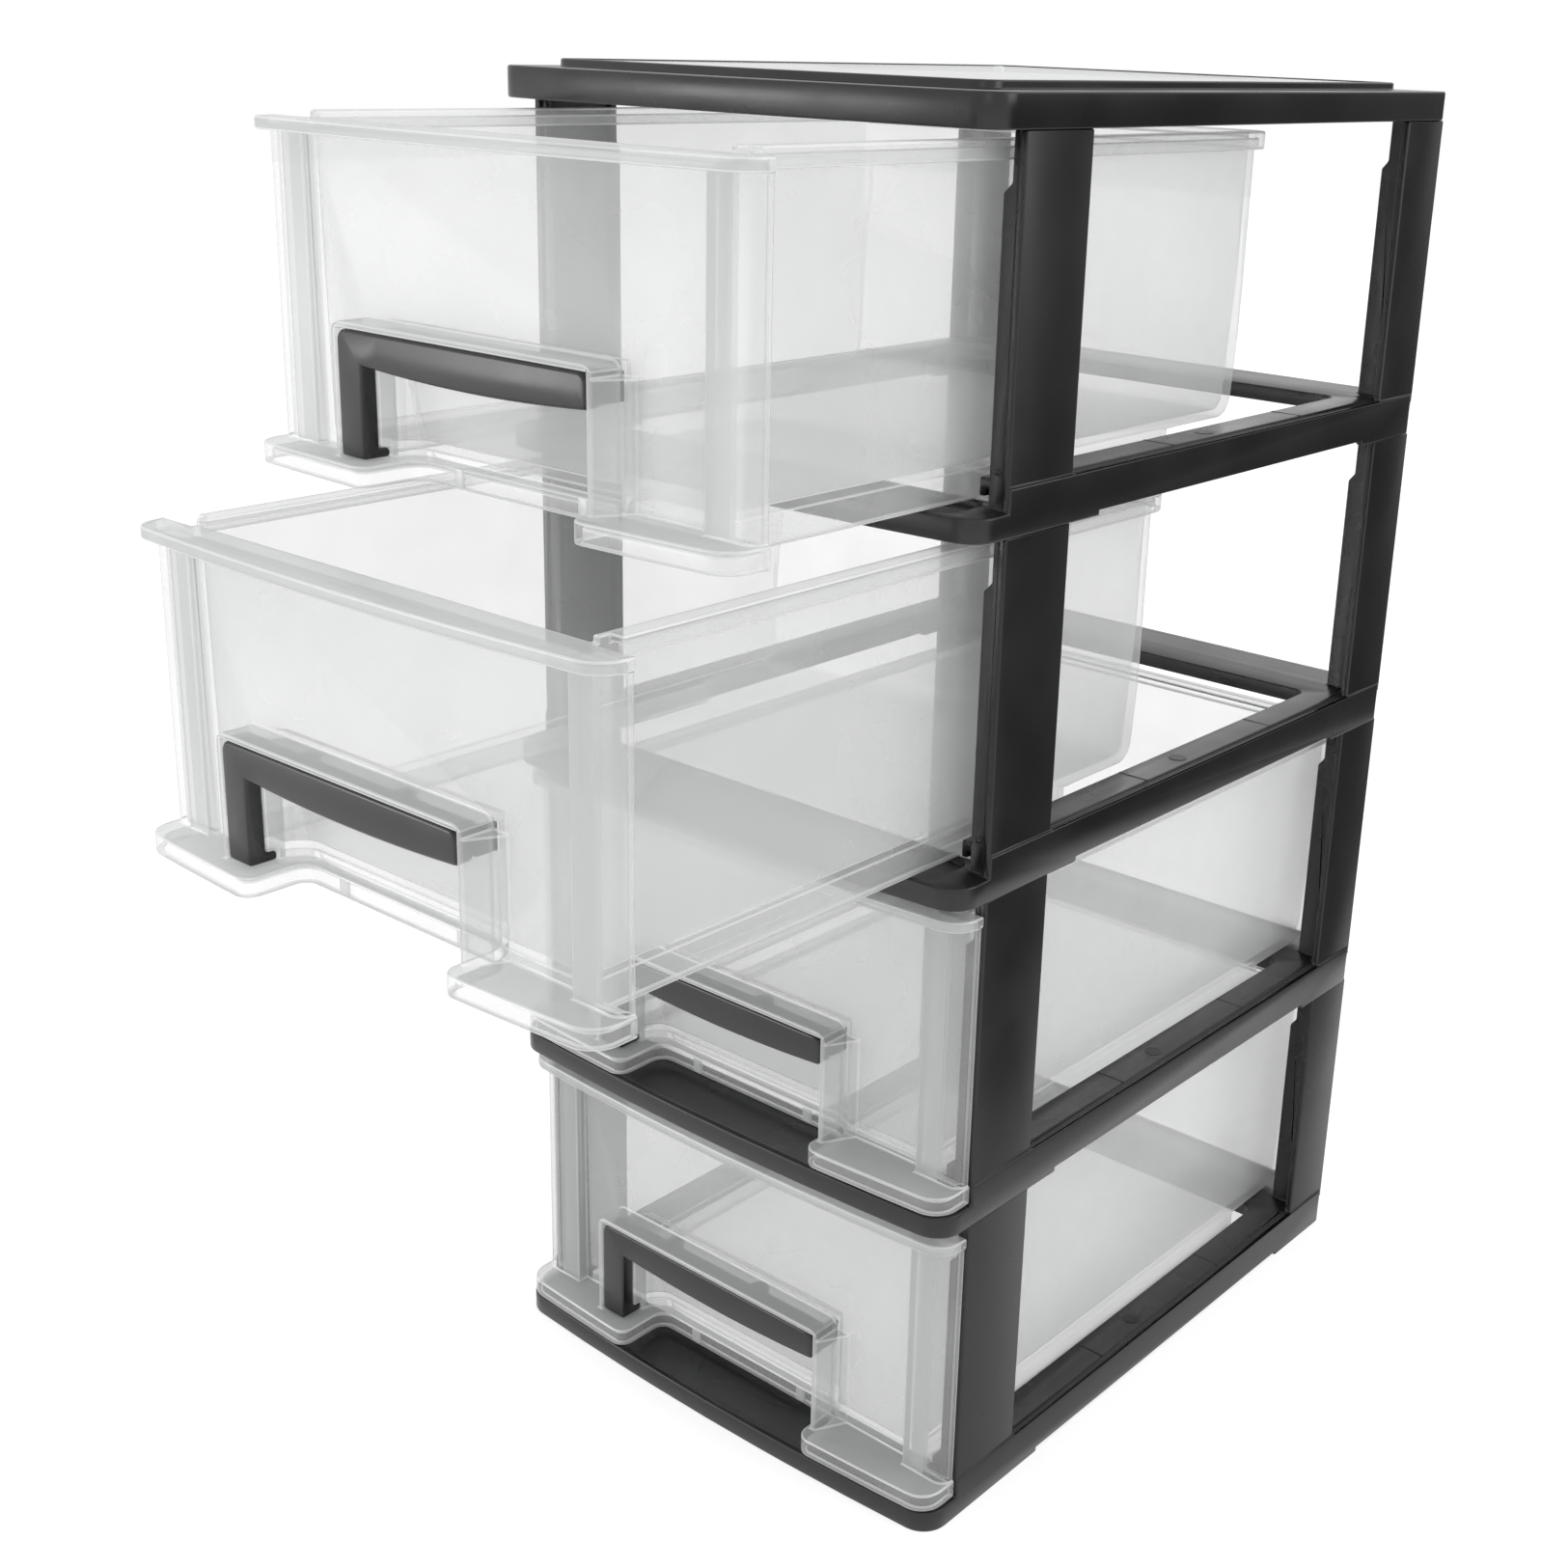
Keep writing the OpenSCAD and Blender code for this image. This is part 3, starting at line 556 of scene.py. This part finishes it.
class TOWER_OT_frame_marks(bpy.types.Operator):
    """Adds the ejector pin marks, the step lines and the drawer stops on each tier frame"""
    bl_idname = "tower.frame_marks"
    bl_label = "Frame marks"

    def execute(self, context):
        black = frame_polystyrene()
        pin_x, pin_y = PIN_PLACE
        stop_x, stop_y, stop_z = STOP_PLACE
        for tier in TIERS:
            foot = FOOT[tier]
            track = foot + TRACK_TOP
            pins = [(side * pin_x, pin_y, track) for side in SIDES]
            steps = [(side * STEP_X, y, track) for side in SIDES for y in STEP_YS]
            stops = [(side * stop_x, stop_y, foot + stop_z) for side in SIDES]
            for name, solid, points, size in (
                    ("pin_marks", "disc", pins, PIN_SIZE),
                    ("step_lines", "rib", steps, STEP_SIZE),
                    ("drawer_stops", "bump", stops, STOP_SIZE)):
                piece = repeats(f"{name}_{tier}", solid, points, size, black)
                give(piece, black, "tower", "black_frame")
        return {"FINISHED"}


class TOWER_OT_lid(bpy.types.Operator):
    """Makes the black lid frame and the clear lid panel"""
    bl_idname = "tower.lid"
    bl_label = "Lid"

    def execute(self, context):
        detail = context.scene.tower_detail
        piece = rounded_copy("lid_frame", "black_lid_frame", detail.frame_edge)
        give(piece, frame_polystyrene(), "tower", "black_frame", "lid_frame")
        panel = rounded_copy("lid_panel", "clear_lid_panel", detail.clear_edge / 2)
        depth_attribute(panel, PANEL_EDGE, PANEL_UPRIGHT)
        give(panel, panel_polypropylene(), "tower", "clear_panel", "lid_panel")
        return {"FINISHED"}


class TOWER_OT_drawers(bpy.types.Operator):
    """Makes the four translucent drawers with rounded edges"""
    bl_idname = "tower.drawers"
    bl_label = "Drawers"

    def execute(self, context):
        for tier in TIERS:
            node = f"drawer_{tier}"
            piece = rounded_copy(
                node, f"clear_{node}", context.scene.tower_detail.clear_edge, bend=split_columns)
            depth_attribute(
                piece, DRAWER_EDGE, DRAWER_UPRIGHT,
                lambda place, normal: self.least_depth(place, normal, tier))
            give(piece, drawer_polypropylene(), f"drawer_unit_{tier}", "clear_drawer", node)
        return {"FINISHED"}

    def least_depth(self, place, normal, tier):
        """The least depth at a place on a drawer.

        The tub's sides and floor have one, and in the front, where walls stand close together, the inner
        halves of the columns look dense. Level faces are made dense too, partly for the skirt's real
        thickness and partly as painted light: the shelves turn milkier, as if more light fell from above.
        """
        if place.y > FRONT_BACK - OUT[tier]:
            front_or_back = abs(normal.y) > 0.5
            return 0.0 if front_or_back else WALL_DEPTH
        if COLUMN_IN < abs(place.x) < COLUMN_MID and place.z > FOOT[tier] + SKIRT_TOP:
            return COLUMN_DEPTH
        # level faces in the front turn milkier: partly the skirt's real thickness, partly painted light from
        # above on the shelves
        level = abs(normal.z) > 0.7
        return SHELF_DEPTH_AND_TOP_LIGHT if level else 0.0


class TOWER_OT_pocket_ribs(bpy.types.Operator):
    """Adds the two ribs in the pocket of each drawer's skirt"""
    bl_idname = "tower.pocket_ribs"
    bl_label = "Pocket ribs"

    def execute(self, context):
        for tier in TIERS:
            ribs = [(x, RIB_Y - OUT[tier], FOOT[tier] + RIB_Z) for x in RIB_XS]
            piece = repeats(
                f"pocket_ribs_{tier}", "rib", ribs, RIB_SIZE, drawer_polypropylene(), rounding=0.3)
            depth_attribute(piece, RIB_EDGE, RIB_EDGE)
            give(piece, drawer_polypropylene(), f"drawer_unit_{tier}", "clear_drawer")
        return {"FINISHED"}


class TOWER_OT_handle_covers(bpy.types.Operator):
    """Makes the four dark handle covers"""
    bl_idname = "tower.handle_covers"
    bl_label = "Handle covers"

    def execute(self, context):
        for tier in TIERS:
            node = f"handle_cover_{tier}"
            piece = rounded_copy(
                node, f"black_{node}", context.scene.tower_detail.cover_edge, segments=3,
                bend=lambda bm: sag_bar(bm, FOOT[tier]))
            give(piece, cover_abs(), f"drawer_unit_{tier}", "black_cover", node)
        return {"FINISHED"}


class TOWER_OT_cover_tabs(bpy.types.Operator):
    """Adds the two snap tabs behind each handle cover's flange, and the block at its right end"""
    bl_idname = "tower.cover_tabs"
    bl_label = "Cover tabs"

    def execute(self, context):
        end_x, end_y, end_z = END_PLACE
        for tier in TIERS:
            foot = FOOT[tier]
            tabs = [(x, TAB_Y - OUT[tier], foot + TAB_Z) for x in TAB_XS]
            piece = repeats(f"cover_tabs_{tier}", "disc", tabs, TAB_SIZE, cover_abs(), rounding=0.2)
            give(piece, cover_abs(), f"drawer_unit_{tier}", "black_cover")
            ends = [(end_x, end_y - OUT[tier], foot + end_z)]
            piece = repeats(f"cover_ends_{tier}", "rib", ends, END_SIZE, cover_abs(), rounding=0.3)
            give(piece, cover_abs(), f"drawer_unit_{tier}", "black_cover")
        return {"FINISHED"}


class TOWER_OT_stage(bpy.types.Operator):
    """Makes the pale floor, the soft light and the camera"""
    bl_idname = "tower.stage"
    bl_label = "Stage"

    def execute(self, context):
        scene = context.scene
        scene.view_settings.view_transform = "Standard"
        # light goes through many clear walls, so it needs many bounces
        scene.cycles.max_bounces = 20
        scene.cycles.diffuse_bounces = 12
        scene.cycles.transparent_max_bounces = 64
        self.world(scene)
        self.floor(scene)
        for lamp in LAMPS:
            self.lamp(scene, *lamp)
        self.camera(scene)
        return {"FINISHED"}

    def seen(self, tree):
        """1 for rays that show the surroundings: to the camera, in gloss and through clear plastic."""
        path = add_node(tree, "ShaderNodeLightPath")
        both = add_node(tree, "ShaderNodeMath", {
            0: path.outputs["Is Camera Ray"], 1: path.outputs["Is Glossy Ray"]},
            operation="MAXIMUM").outputs[0]
        return add_node(tree, "ShaderNodeMath", {
            0: both, 1: path.outputs["Is Transmission Ray"]}, operation="MAXIMUM").outputs[0]

    def flagged(self, tree, towards, most):
        """How much of the dark flag gloss sees in the direction towards, up to most."""
        rim, middle = FLAG_RIM
        aside = add_node(tree, "ShaderNodeVectorMath", {
            0: towards, 1: FLAG_TOWARDS}, operation="DOT_PRODUCT").outputs["Value"]
        behind = add_node(tree, "ShaderNodeMapRange", {
            "Value": aside, "From Min": rim, "From Max": middle},
            interpolation_type="SMOOTHSTEP").outputs["Result"]
        share = add_node(tree, "ShaderNodeMath", {0: behind, 1: most}, operation="MULTIPLY").outputs[0]
        path = add_node(tree, "ShaderNodeLightPath")
        return add_node(tree, "ShaderNodeMath", {
            0: share, 1: path.outputs["Is Glossy Ray"]}, operation="MULTIPLY").outputs[0]

    def world(self, scene):
        """Even white light from all round, in which gloss sees the dark flag."""
        world = bpy.data.worlds.new("Studio")
        world.use_nodes = True
        scene.world = world
        tree = world.node_tree
        tree.nodes.clear()
        towards = add_node(tree, "ShaderNodeTexCoord").outputs["Generated"]
        height = add_node(tree, "ShaderNodeSeparateXYZ", {0: towards}).outputs["Z"]
        full, gone = FLAG_TOP
        low = add_node(tree, "ShaderNodeMapRange", {
            "Value": height, "From Min": full, "From Max": gone, "To Min": FLAG_ON_BACKDROP, "To Max": 0.0,
        }).outputs["Result"]
        flag = self.flagged(tree, towards, low)
        strength = add_node(tree, "ShaderNodeMath", {0: 1.0, 1: flag}, operation="SUBTRACT").outputs[0]
        light = add_node(tree, "ShaderNodeBackground", {
            "Color": linear("ffffff"), "Strength": strength}).outputs[0]
        add_node(tree, "ShaderNodeOutputWorld", {"Surface": light})

    def floor(self, scene):
        """White card that keeps the tower's shadow, with the dark flag on its far part."""
        mesh = bpy.data.meshes.new("floor")
        side = FLOOR_REACH
        corners = [(-side, -side, 0), (side, -side, 0), (side, side, 0), (-side, side, 0)]
        mesh.from_pydata(corners, [], [(0, 1, 2, 3)])
        floor = bpy.data.objects.new("floor", mesh)
        scene.collection.objects.link(floor)
        material, tree = new_material("white_card")
        place = add_node(tree, "ShaderNodeNewGeometry").outputs["Position"]
        towards = add_node(tree, "ShaderNodeVectorMath", {0: place}, operation="NORMALIZE").outputs["Vector"]
        distance = add_node(tree, "ShaderNodeVectorMath", {0: place}, operation="LENGTH").outputs["Value"]
        near, full = FLAG_FLOOR
        far = add_node(tree, "ShaderNodeMapRange", {
            "Value": distance, "From Min": near, "From Max": full, "To Min": 0.0, "To Max": FLAG_ON_FLOOR,
        }).outputs["Result"]
        # what is seen of the card is partly lit, for the shadow, and partly glows, for the white
        pale = add_node(tree, "ShaderNodeBsdfDiffuse", {"Color": linear("b3b3b3")}).outputs[0]
        glow = add_node(tree, "ShaderNodeEmission", {"Strength": FLOOR_GLOW}).outputs[0]
        white = add_node(tree, "ShaderNodeAddShader", {0: pale, 1: glow}).outputs[0]
        dark = add_node(tree, "ShaderNodeEmission", {"Strength": FLAG_GLOW}).outputs[0]
        flag = self.flagged(tree, towards, far)
        shown = add_node(tree, "ShaderNodeMixShader", {0: flag, 1: white, 2: dark}).outputs[0]
        # what lights the tower from below is the card alone
        card = add_node(tree, "ShaderNodeBsdfDiffuse", {"Color": linear("ededed")}).outputs[0]
        surface = add_node(tree, "ShaderNodeMixShader", {0: self.seen(tree), 1: card, 2: shown}).outputs[0]
        add_node(tree, "ShaderNodeOutputMaterial", {"Surface": surface})
        mesh.materials.append(material)

    def lamp(self, scene, name, place, size, power):
        """A square soft lamp that faces the tower."""
        data = bpy.data.lights.new(name, "AREA")
        data.size = size
        data.energy = power
        lamp = bpy.data.objects.new(name, data)
        lamp.location = place
        lamp.rotation_euler = (Vector(LAMP_AIM) - Vector(place)).to_track_quat("-Z", "Y").to_euler()
        scene.collection.objects.link(lamp)

    def camera(self, scene):
        """The camera in front and to the right, above the lid."""
        yaw, pitch, roll = CAMERA_TURN
        forward = Vector((
            math.sin(yaw) * math.cos(pitch), math.cos(yaw) * math.cos(pitch), math.sin(pitch)))
        level = Vector((math.cos(yaw), -math.sin(yaw), 0))
        upright = level.cross(forward)
        right = level * math.cos(roll) + upright * math.sin(roll)
        up = upright * math.cos(roll) - level * math.sin(roll)
        data = bpy.data.cameras.new("Camera")
        data.sensor_width = 36
        data.lens = CAMERA_LENS
        data.shift_x, data.shift_y = CAMERA_SHIFT
        camera = bpy.data.objects.new("Camera", data)
        scene.collection.objects.link(camera)
        turn = Matrix((right, up, -forward)).transposed().to_4x4()
        camera.matrix_world = Matrix.Translation(CAMERA_PLACE) @ turn
        scene.camera = camera


class TOWER_PT_sidebar(bpy.types.Panel):
    """Lists the sizes, the colours and the steps that dress the tower"""
    bl_idname = "TOWER_PT_sidebar"
    bl_label = "Drawer Tower"
    bl_space_type = "VIEW_3D"
    bl_region_type = "UI"
    bl_category = "Drawer Tower"

    def draw(self, context):
        for group in (context.scene.tower_finish, context.scene.tower_detail):
            for name in group.bl_rna.properties.keys():
                if name not in ("rna_type", "name"):
                    self.layout.prop(group, name)
        for step in STEPS:
            self.layout.operator(step.bl_idname)


STEPS = (
    TOWER_OT_tier_frames, TOWER_OT_frame_marks, TOWER_OT_lid, TOWER_OT_drawers, TOWER_OT_pocket_ribs,
    TOWER_OT_handle_covers, TOWER_OT_cover_tabs, TOWER_OT_stage,
)
CLASSES = (TowerFinish, TowerDetail) + STEPS + (TOWER_PT_sidebar,)


def register():
    for cls in CLASSES:
        bpy.utils.register_class(cls)
    bpy.types.Scene.tower_finish = bpy.props.PointerProperty(type=TowerFinish)
    bpy.types.Scene.tower_detail = bpy.props.PointerProperty(type=TowerDetail)


def unregister():
    del bpy.types.Scene.tower_detail
    del bpy.types.Scene.tower_finish
    for cls in reversed(CLASSES):
        bpy.utils.unregister_class(cls)


def main():
    register()
    bpy.ops.tower.tier_frames()
    bpy.ops.tower.frame_marks()
    bpy.ops.tower.lid()
    bpy.ops.tower.drawers()
    bpy.ops.tower.pocket_ribs()
    bpy.ops.tower.handle_covers()
    bpy.ops.tower.cover_tabs()
    bpy.ops.tower.stage()
    bpy.context.view_layer.update()


if __name__ == "__main__":
    main()
